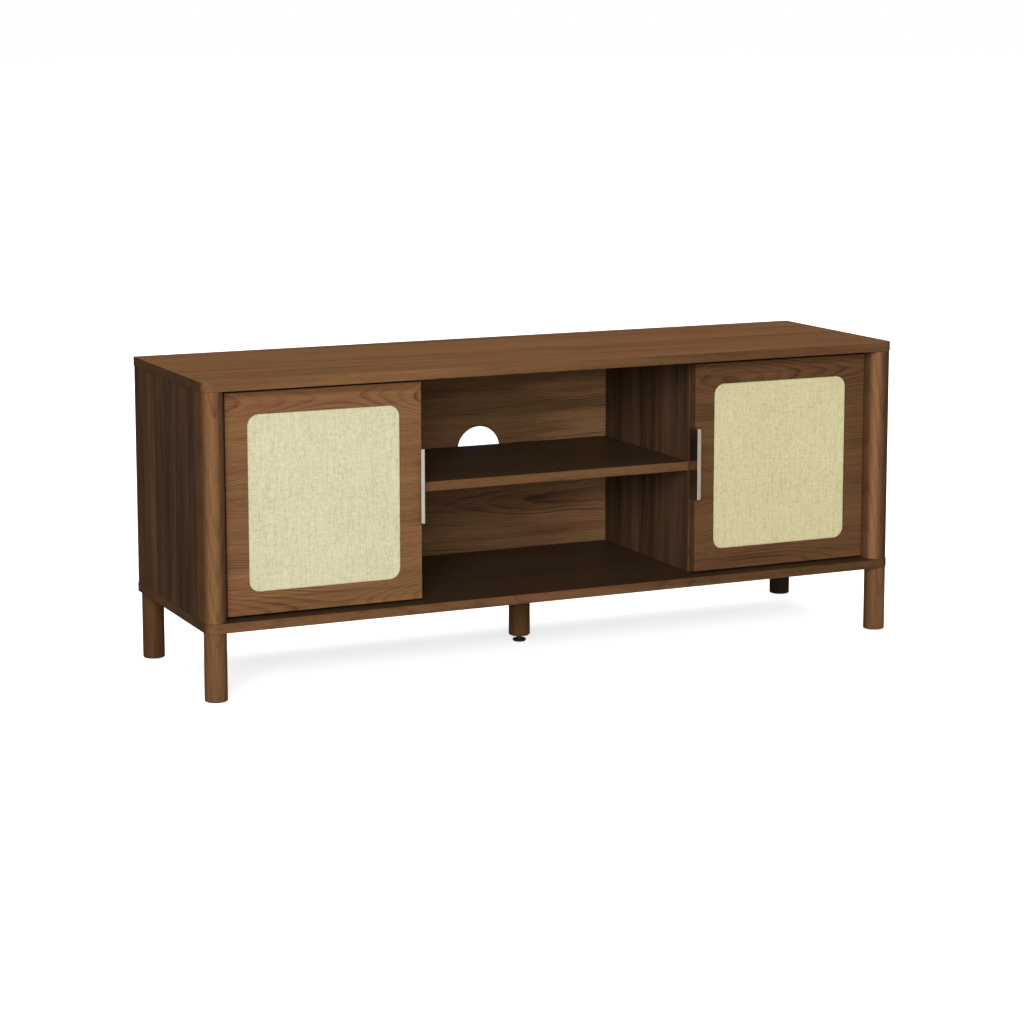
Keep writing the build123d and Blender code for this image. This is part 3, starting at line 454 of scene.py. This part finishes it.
def fibre_board(name, colour):
    """Raw pressed fibreboard."""
    g = Graph(name)
    place = g.place()
    flecks = g.noise(g.stretch(place, (420.0, 420.0, 420.0)), detail=5.0, roughness=0.7)
    cloud = g.noise(g.stretch(place, (18.0, 18.0, 18.0)), detail=3.0)
    shade = g.add(g.times(flecks, 0.7), g.times(cloud, 0.3))
    low = [c * 0.6 for c in colour]
    high = [c * 1.3 for c in colour]
    tint = g.ramp(shade, ((0.3, low), (0.5, colour), (0.7, high)))
    normal = g.bump(flecks, 0.0002, 0.5)
    return g.finish(tint, g.spread(flecks, 0.3, 0.7, 0.75, 0.92), normal, Specular_IOR_Level=0.25)


WEAVE_PITCH = 0.0018     # one thread to the next

# the steps of the cloth's colour, as gains on its middle tone
OLIVE = (0.72, 0.71, 0.60)
STRAW = (0.90, 0.90, 0.84)
CREAM = (1.13, 1.13, 1.20)
PINHOLE = (0.55, 0.54, 0.45)
FLECK = (0.56, 0.56, 0.46)


def cane_cloth(name, base):
    """Fine paper-cane cloth: two sets of threads, slubs both ways, flecks and dark pinholes."""
    g = Graph(name)
    place = g.place()
    x, _, z = g.axes(place)
    cell_x = g.times(x, math.pi / WEAVE_PITCH)
    cell_z = g.times(z, math.pi / WEAVE_PITCH)
    over = g.times(g.math("COSINE", cell_x), g.math("COSINE", cell_z))
    hole = g.times(g.math("ABSOLUTE", g.math("SINE", cell_x)), g.math("ABSOLUTE", g.math("SINE", cell_z)))
    slub_down = g.noise(g.stretch(place, (700.0, 90.0, 92.0)), detail=3.0, roughness=0.6)
    slub_side = g.noise(g.stretch(place, (88.0, 90.0, 640.0), (4.2, 0, 0)), detail=2.0, roughness=0.6)
    strand_tone = g.noise(g.stretch(place, (260.0, 20.0, 14.0), (7.9, 0, 0)), detail=2.0)
    cloud = g.noise(g.stretch(place, (11.0, 11.0, 11.0)), detail=2.0)
    hair = g.noise(g.stretch(place, (2600.0, 900.0, 700.0)), detail=2.0)
    fleck_noise = g.noise(g.stretch(place, (520.0, 90.0, 190.0), (2.6, 0, 0)), detail=2.0, roughness=0.5)
    fleck = g.spread(fleck_noise, 0.57, 0.68)
    shade = g.add(0.5, g.times(g.less(slub_down, 0.5), 0.88))
    shade = g.add(shade, g.times(g.less(slub_side, 0.5), 0.72))
    shade = g.add(shade, g.times(g.less(strand_tone, 0.5), 0.50))
    shade = g.add(shade, g.times(g.less(cloud, 0.5), 0.22))
    shade = g.add(shade, g.times(g.less(hair, 0.5), 0.20))
    shade = g.add(shade, g.times(over, 0.05))
    tint = g.ramp(shade, ((0.15, toned(base, OLIVE)), (0.38, toned(base, STRAW)), (0.55, base),
                          (0.85, toned(base, CREAM))))
    tint = g.mix(g.times(g.spread(hole, 0.55, 1.0), 0.30), tint, toned(base, PINHOLE))
    tint = g.mix(g.times(fleck, 0.46), tint, toned(base, FLECK))
    height = g.add(g.times(hair, 0.5), g.times(slub_down, 0.7))
    normal = g.bump(height, 0.00018, 0.6)
    return g.finish(tint, g.spread(hair, 0.3, 0.7, 0.72, 0.9), normal,
                    Specular_IOR_Level=0.22, Sheen_Weight=0.12, Sheen_Roughness=0.5)


# ---- floor ---------------------------------------------------------------------------------------
FLOOR_HALF = 60.0
FLOOR_GLOW = 0.70        # added for the camera alone, so that the floor comes out nearly white
FLOOR_BOUNCE = 0.34      # how bright the floor is as light on the object
FLOOR_IN_GLOSS = 0.08    # and in the object's reflections


def diffuse(g, colour):
    made = g.node("ShaderNodeBsdfDiffuse")
    g.put(made.inputs["Color"], colour)
    return made


def studio_floor():
    """A plain pale floor at the height that the object stands on."""
    mesh = bpy.data.meshes.new("studio_floor")
    signs = ((-1, -1), (1, -1), (1, 1), (-1, 1))
    corners = [(x * FLOOR_HALF, y * FLOOR_HALF, 0) for x, y in signs]
    mesh.from_pydata(corners, [], [(0, 1, 2, 3)])
    floor = bpy.data.objects.new("studio_floor", mesh)
    scene.collection.objects.link(floor)
    g = Graph("studio_floor")
    place = g.place()
    mottle = g.noise(g.stretch(place, (1.2, 1.2, 1.2)), detail=2.0)
    pale = diffuse(g, g.ramp(mottle, ((0.3, 0.86), (0.7, 0.88))))
    dim = diffuse(g, (FLOOR_BOUNCE, FLOOR_BOUNCE, FLOOR_BOUNCE, 1))
    dark = diffuse(g, (FLOOR_IN_GLOSS, FLOOR_IN_GLOSS, FLOOR_IN_GLOSS, 1))
    bounce = g.node("ShaderNodeMixShader")
    glow = g.node("ShaderNodeEmission")
    glow.inputs["Strength"].default_value = FLOOR_GLOW
    both = g.node("ShaderNodeAddShader")
    choose = g.node("ShaderNodeMixShader")
    path = g.node("ShaderNodeLightPath")
    g.tree.links.new(pale.outputs[0], both.inputs[0])
    g.tree.links.new(glow.outputs[0], both.inputs[1])
    g.tree.links.new(path.outputs["Is Camera Ray"], choose.inputs[0])
    g.tree.links.new(path.outputs["Is Glossy Ray"], bounce.inputs[0])
    g.tree.links.new(dim.outputs[0], bounce.inputs[1])
    g.tree.links.new(dark.outputs[0], bounce.inputs[2])
    g.tree.links.new(bounce.outputs[0], choose.inputs[1])
    g.tree.links.new(both.outputs[0], choose.inputs[2])
    g.tree.links.new(choose.outputs[0], g.output.inputs["Surface"])
    mesh.materials.append(g.material)


studio_floor()


# ---- finishes of the CAD nodes -------------------------------------------------------------------
def dress(node, material):
    """Gives a CAD node its one material."""
    mesh = nodes[node].data
    if not mesh.materials:
        mesh.materials.append(material)
    for index in range(len(mesh.materials)):
        mesh.materials[index] = material


PAINTED_BAY_SHADE_HUE = (1.0, 1.13, 1.38)       # painted shade: hue of the wood inside the bay, less red
SIDE_HUE = (1.0, 1.02, 1.05)

# painted shade on a divider, darker from its front to its rear; painted shading on the back board, darker
# towards the bottom; and the tone of the left door upwards
DIVIDER_PAINTED_SHADE = ((0.0, 1.0), (0.45, 0.96), (1.0, 0.62))
BACK_PAINTED_SHADE = ((0.0, 0.76), (1.0, 1.0))
DOOR_SHADES = ((0.0, 0.92), (0.10, 0.91), (0.22, 0.84), (0.68, 0.84), (0.92, 1.0))


def lying_boards():
    """The top, the bottom and the shelves."""
    top = walnut("walnut_top", X, Y, Z, tone=0.76, edge_tone=0.90, end_tone=0.36, heart=-0.05,
                 under=0.09, ring=0.011, slope=0.03, figure=0.35, streaks=1.1,
                 hue=(0.97, 0.92, 0.82), fade=(-0.25, 0.30, 0.55), seed=2.0)
    # the low tones of the bottom's and the shelf's faces are painted shade inside the bay; their front
    # edges keep a lighter edge_tone
    bottom = walnut("walnut_bottom", X, Y, Z, tone=0.26, edge_tone=0.79, end_tone=0.42, heart=0.06,
                    figure=0.6, hue=PAINTED_BAY_SHADE_HUE, fade=(-0.55, 0.60, 0.56), seed=7.0)
    shelf = walnut("walnut_shelf", X, Y, Z, tone=0.27, edge_tone=0.65, heart=0.02, figure=0.6,
                   hue=PAINTED_BAY_SHADE_HUE, seed=11.0)
    dress("top_panel", top)
    dress("bottom_panel", bottom)
    dress("centre_shelf", shelf)
    for side, seed in (("left", 14.0), ("right", 18.0)):
        loose = walnut(f"walnut_{side}_loose_shelf", X, Y, Z, tone=0.70, figure=0.7, seed=seed)
        dress(f"{side}_cupboard_shelf", loose)


def standing_boards():
    """The back, the sides and the dividers."""
    low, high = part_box("back_panel")
    # painted shading: the back darker towards the bottom, and painted light lightening it towards its
    # right
    back = walnut("walnut_back", X, Z, Y, tone=0.94, heart=0.205, under=0.03, ring=0.0045,
                  slope=0.055, figure=1.25, hue=(1.0, 1.07, 1.18), painted_light=(0.07, 0.22, 1.6),
                  painted_shade_and_tone=(low.z, high.z, BACK_PAINTED_SHADE), seed=3.0)
    dress("back_panel", back)
    for panel, tone, heart, hue, seed in (("left_side_panel", 0.36, 0.02, SIDE_HUE, 21.0),
                                          ("right_side_panel", 0.45, 0.05, SIDE_HUE, 23.0),
                                          ("left_divider", 0.50, 0.0, PAINTED_BAY_SHADE_HUE, 25.0),
                                          ("right_divider", 0.50, 0.06, PAINTED_BAY_SHADE_HUE, 27.0)):
        low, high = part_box(panel)
        # painted shade: each divider darker towards its rear
        rear_painted_shade = (low.y, high.y, DIVIDER_PAINTED_SHADE) if "divider" in panel else None
        board = walnut(f"walnut_{panel}", Z, Y, X, tone=tone, heart=heart, under=0.06, slope=0.05,
                       ring=0.007, figure=0.7, streaks=2.4, hue=hue, painted_shade_and_tone=rear_painted_shade, seed=seed)
        dress(panel, board)


def doors():
    """The left door's rings close into cathedrals, the right door's into an eye."""
    low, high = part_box("left_door_panel")
    left = walnut("walnut_left_door", X, Z, Y, tone=1.10, heart=0.448, centre=-0.37, bow=-0.10,
                  fold=0.16, figure=1.15, ripples=0.45, painted_shade_and_tone=(low.z, high.z, DOOR_SHADES),
                  seed=31.0)
    right = walnut("walnut_right_door", X, Z, Y, tone=0.54, heart=0.444, centre=0.31, bow=0.09,
                   fold=0.16, figure=1.3, ripples=0.45, seed=33.0)
    dress("left_door_panel", left)
    dress("right_door_panel", right)


def posts_and_legs():
    # each post gets painted shade across it, darker on its flanks
    for side, tone, shades, seed in (("left", 1.08, LEFT_POST_PAINTED_SHADE, 41.0),
                                     ("right", 1.24, RIGHT_POST_PAINTED_SHADE, 43.0)):
        low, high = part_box(f"{side}_corner_post")
        post = walnut(f"walnut_{side}_post", Z, X, Y, tone=tone, heart=(low.x + high.x) / 2,
                      under=0.015, slope=0.06, ring=0.005, warp=0.004, figure=0.6, streaks=0.5,
                      painted_shade_and_tone=(low.x, high.x, shades), seed=seed)
        dress(f"{side}_corner_post", post)
    # the rear legs and the centre leg get darker tones as painted shade under the cabinet
    for leg, tone, seed in (("front_left_leg", 0.73, 51.0), ("front_right_leg", 0.74, 52.0),
                            ("rear_left_leg", 0.42, 53.0), ("rear_right_leg", 0.16, 54.0),
                            ("centre_leg", 0.60, 55.0)):
        low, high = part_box(leg)
        round_wood = walnut(f"walnut_{leg}", Z, X, Y, tone=tone, heart=(low.x + high.x) / 2,
                            under=0.015, slope=0.06, ring=0.004, warp=0.003, figure=0.5, seed=seed)
        dress(leg, round_wood)


def fittings():
    """All metal, plastic and hidden parts but the screws."""
    nickel = metal("nickel_plate", (0.62, 0.60, 0.56), 0.27)
    bright = metal("bright_steel", (0.70, 0.70, 0.70), 0.18)
    magnet_steel = metal("magnet_steel", (0.42, 0.42, 0.44), 0.30, across=X)
    brown_plastic = moulded("brown_plastic", (0.055, 0.030, 0.018), 0.48)
    black_rubber = moulded("black_rubber", (0.035, 0.034, 0.033), 0.75, speck=1400.0, specular=0.25)
    backing = fibre_board("raw_fibreboard", (0.42, 0.31, 0.20))
    # the right handle's steel is darker and browner than the left's: painted shade on the same steel
    for side, steel in (("left", (0.90, 0.87, 0.81)), ("right", (0.67, 0.59, 0.48))):
        satin = metal(f"satin_steel_{side}", steel, 0.22, across=X, grain=0.04, matt_front=0.5)
        dress(f"{side}_handle", satin)
        dress(f"{side}_insert_backing", backing)
        dress(f"{side}_hinge_cups", nickel)
        dress(f"{side}_hinge_arms", nickel)
        dress(f"{side}_hinge_plates", nickel)
        dress(f"{side}_hinge_pins", bright)
        dress(f"{side}_catch_body", brown_plastic)
        dress(f"{side}_catch_magnet", magnet_steel)
        dress(f"{side}_catch_strike", nickel)
        dress(f"{side}_door_buffers", black_rubber)
    for node in ("hanger_bolts", "cam_bolts", "leg_inserts", "foot_sleeve", "shelf_pins"):
        dress(node, zinc)
    dress("cam_locks", metal("cast_zinc", (0.46, 0.46, 0.48), 0.48))
    dress("dowels", fibre_board("beech_dowel", (0.60, 0.45, 0.29)))
    dress("levelling_foot", moulded("black_plastic", (0.012, 0.012, 0.013), 0.42))


zinc = metal("zinc_plate", (0.62, 0.64, 0.66), 0.36)
dark_oxide = metal("dark_oxide", (0.075, 0.06, 0.05), 0.42)
lying_boards()
standing_boards()
doors()
posts_and_legs()
fittings()

# ---- screws --------------------------------------------------------------------------------------
HEAD_TURNS = 72
HEAD_RINGS = 16
SAME_PLACE = 0.0001          # metres within which two of a screw's heights are the same

# the cross recess, as parts of the head's radius
RECESS_REACH = 0.60          # half its length
RECESS_HALF_WIDTH = 0.15     # half the width of an arm
RECESS_WALL = 0.07           # how wide its sloping walls are
RECESS_DEPTH = 0.36

CROWN = 0.30                 # how far a pan head falls towards its rim, as a part of its height
POINT = 0.15                 # the flat of the tip, as a part of the shank's radius


def loose_parts(holder):
    """The vertices of each separate solid of a CAD node, as arrays of places."""
    edit = bmesh.new()
    edit.from_mesh(holder.data)
    bmesh.ops.remove_doubles(edit, verts=edit.verts, dist=0.000002)
    left = set(edit.verts)
    parts = []
    for start in list(edit.verts):
        if start not in left:
            continue
        left.remove(start)
        stack, part = [start], []
        while stack:
            vertex = stack.pop()
            part.append(list(holder.matrix_world @ vertex.co))
            for edge in vertex.link_edges:
                other = edge.other_vert(vertex)
                if other in left:
                    left.remove(other)
                    stack.append(other)
        parts.append(np.array(part))
    edit.free()
    return sorted(parts, key=lambda part: tuple(part.mean(0).round(5)))


def screw_mesh(part, spin):
    """Rings of vertices and quads for one screw in the room of a CAD screw: crown, recess, shank."""
    low, high = part.min(0), part.max(0)
    axis = int(np.argmax(high - low))
    middle = (low + high) / 2
    off_axis = np.delete(part - middle, axis, axis=1)
    radii = np.hypot(off_axis[:, 0], off_axis[:, 1])
    along = part[:, axis]
    at_low = along < low[axis] + SAME_PLACE
    at_high = along > high[axis] - SAME_PLACE
    head_up = radii[at_high].max() > radii[at_low].max()
    top, tip = (high[axis], low[axis]) if head_up else (low[axis], high[axis])
    length = abs(top - tip)
    head_r = radii.max()
    shank_r = radii[np.abs(along - tip) < SAME_PLACE].max()
    under_head = np.abs(along[radii > 0.9 * head_r] - top).max()
    countersunk = under_head < 2 * SAME_PLACE
    ring_r = np.linspace(0, 1, HEAD_RINGS + 1)[1:]
    turn = np.linspace(0, 2 * math.pi, HEAD_TURNS, endpoint=False)
    rows = []
    for r in ring_r:
        x, y = np.abs(r * np.cos(turn)), np.abs(r * np.sin(turn))
        outside = np.minimum(np.maximum(x - RECESS_HALF_WIDTH, y - RECESS_REACH),
                             np.maximum(y - RECESS_HALF_WIDTH, x - RECESS_REACH))
        sunk = np.clip(-outside / RECESS_WALL, 0, 1) * RECESS_DEPTH * head_r
        crown = 0.0 if countersunk else CROWN * under_head * r ** 3
        rows.append((np.full(HEAD_TURNS, r * head_r), crown + sunk))
    neck = head_r - shank_r if countersunk else under_head
    below = [(shank_r, neck), (shank_r, length - shank_r), (shank_r * POINT, length)]
    if not countersunk:
        below.insert(0, (head_r, under_head))
    rows += [(np.full(HEAD_TURNS, r), np.full(HEAD_TURNS, depth)) for r, depth in below]
    others = [i for i in range(3) if i != axis]
    points = [np.array([0, 0, RECESS_DEPTH * head_r])[None, :]]
    for r, depth in rows:
        points.append(np.stack([r * np.cos(turn + spin), r * np.sin(turn + spin), depth], 1))
    flat = np.concatenate(points)
    places = np.empty_like(flat)
    places[:, others[0]] = middle[others[0]] + flat[:, 0]
    places[:, others[1]] = middle[others[1]] + flat[:, 1]
    places[:, axis] = top + (-flat[:, 2] if head_up else flat[:, 2])
    faces = [(0, 1 + (i + 1) % HEAD_TURNS, 1 + i) for i in range(HEAD_TURNS)]
    for row in range(len(rows) - 1):
        start, after = 1 + row * HEAD_TURNS, 1 + (row + 1) * HEAD_TURNS
        for i in range(HEAD_TURNS):
            j = (i + 1) % HEAD_TURNS
            faces.append((start + i, start + j, after + j, after + i))
    last = 1 + (len(rows) - 1) * HEAD_TURNS
    faces.append(tuple(last + i for i in range(HEAD_TURNS)))
    return places, faces


def cross_head_screws(node, body, material):
    """Screws with a cross recess in place of a node's plain CAD screws."""
    draw = np.random.default_rng(len(node))
    points, faces = [], []
    for part in loose_parts(nodes[node]):
        places, around = screw_mesh(part, draw.uniform(0, math.pi))
        faces += [tuple(index + len(points) for index in face) for face in around]
        points += places.tolist()
    mesh = bpy.data.meshes.new(f"{node}_cross_head")
    mesh.from_pydata(points, [], faces)
    edit = bmesh.new()
    edit.from_mesh(mesh)
    bmesh.ops.recalc_face_normals(edit, faces=edit.faces)
    edit.to_mesh(mesh)
    edit.free()
    mesh.materials.append(material)
    screws = bpy.data.objects.new(f"{node}_cross_head", mesh)
    scene.collection.objects.link(screws)
    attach(screws, body)
    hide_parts(node)


for side in ("left", "right"):
    cross_head_screws(f"{side}_door_screws", f"{side}_door", zinc)
    cross_head_screws(f"{side}_cabinet_screws", "cabinet", zinc)
cross_head_screws("back_screws", "cabinet", dark_oxide)


# ---- woven inserts -------------------------------------------------------------------------------
WINDOW_CORNER = 0.0177   # corner radius of an insert
THREAD_RISE = 0.00016    # how far a thread rises and dips
SHEET_INSET = 1.6        # how deep the sheet's middle lies behind the insert's face, in thread rises
TUCK_WIDTH = 0.0016      # the rim that bends back into the window
TUCK_DEPTH = 0.0008


def woven_insert(side, colour):
    """A woven sheet in real relief over the insert's window, tucked back at its rim."""
    node = f"{side}_woven_insert"
    low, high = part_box(node)
    width = high.x - low.x
    height = high.z - low.z
    step = WEAVE_PITCH / 2
    columns = round(width / step)
    rows = round(height / step)
    x = np.linspace(-width / 2, width / 2, columns + 1)
    z = np.linspace(-height / 2, height / 2, rows + 1)
    gx, gz = np.meshgrid(x, z)
    straight_x = width / 2 - WINDOW_CORNER
    straight_z = height / 2 - WINDOW_CORNER
    into_corner = np.clip(np.abs(gz) - straight_z, 0, WINDOW_CORNER)
    reach = np.sqrt(WINDOW_CORNER ** 2 - into_corner ** 2) / WINDOW_CORNER
    beyond = np.clip(np.abs(gx) - straight_x, 0, None)
    gx = np.where(beyond > 0, np.sign(gx) * (straight_x + beyond * reach), gx)
    corner_x = np.clip(np.abs(gx) - straight_x, 0, None)
    corner_z = np.clip(np.abs(gz) - straight_z, 0, None)
    in_corner = (corner_x > 0) & (corner_z > 0)
    to_side = np.minimum(width / 2 - np.abs(gx), height / 2 - np.abs(gz))
    to_arc = WINDOW_CORNER - np.hypot(corner_x, corner_z)
    border = np.clip(np.where(in_corner, to_arc, to_side), 0, None)
    centre_x = (low.x + high.x) / 2
    centre_z = (low.z + high.z) / 2
    place_x = gx + centre_x
    place_z = gz + centre_z
    relief = np.cos(math.pi * place_x / WEAVE_PITCH) * np.cos(math.pi * place_z / WEAVE_PITCH)
    draw = np.random.default_rng(17 if side == "left" else 29)
    slub = 1 + 0.175 * draw.standard_normal(columns + 1)[None, :]
    slub = slub + 0.125 * draw.standard_normal(gx.shape)
    tuck = np.clip(1 - border / TUCK_WIDTH, 0, 1) ** 2
    surface = low.y + THREAD_RISE * SHEET_INSET - THREAD_RISE * relief * slub * (1 - tuck)
    place_y = surface + TUCK_DEPTH * tuck
    points = np.stack([place_x, place_y, place_z], -1).reshape(-1, 3)
    index = np.arange((rows + 1) * (columns + 1)).reshape(rows + 1, columns + 1)
    quads = np.stack([index[:-1, :-1], index[:-1, 1:], index[1:, 1:], index[1:, :-1]], -1).reshape(-1, 4)
    mesh = bpy.data.meshes.new(f"{side}_woven_cloth")
    mesh.from_pydata(points.tolist(), [], quads.tolist())
    edit = bmesh.new()
    edit.from_mesh(mesh)
    bmesh.ops.remove_doubles(edit, verts=edit.verts, dist=0.00002)
    for face in edit.faces:
        face.smooth = True
    edit.to_mesh(mesh)
    edit.free()
    cloth = bpy.data.objects.new(f"{side}_woven_cloth", mesh)
    scene.collection.objects.link(cloth)
    mesh.materials.append(cane_cloth(f"{side}_cane_cloth", colour))
    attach(cloth, f"{side}_door")
    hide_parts(node)


# the right insert's cloth is darker and yellower than the left's: painted shade on the same cloth
woven_insert("left", (0.670, 0.620, 0.415))
woven_insert("right", (0.610, 0.550, 0.320))
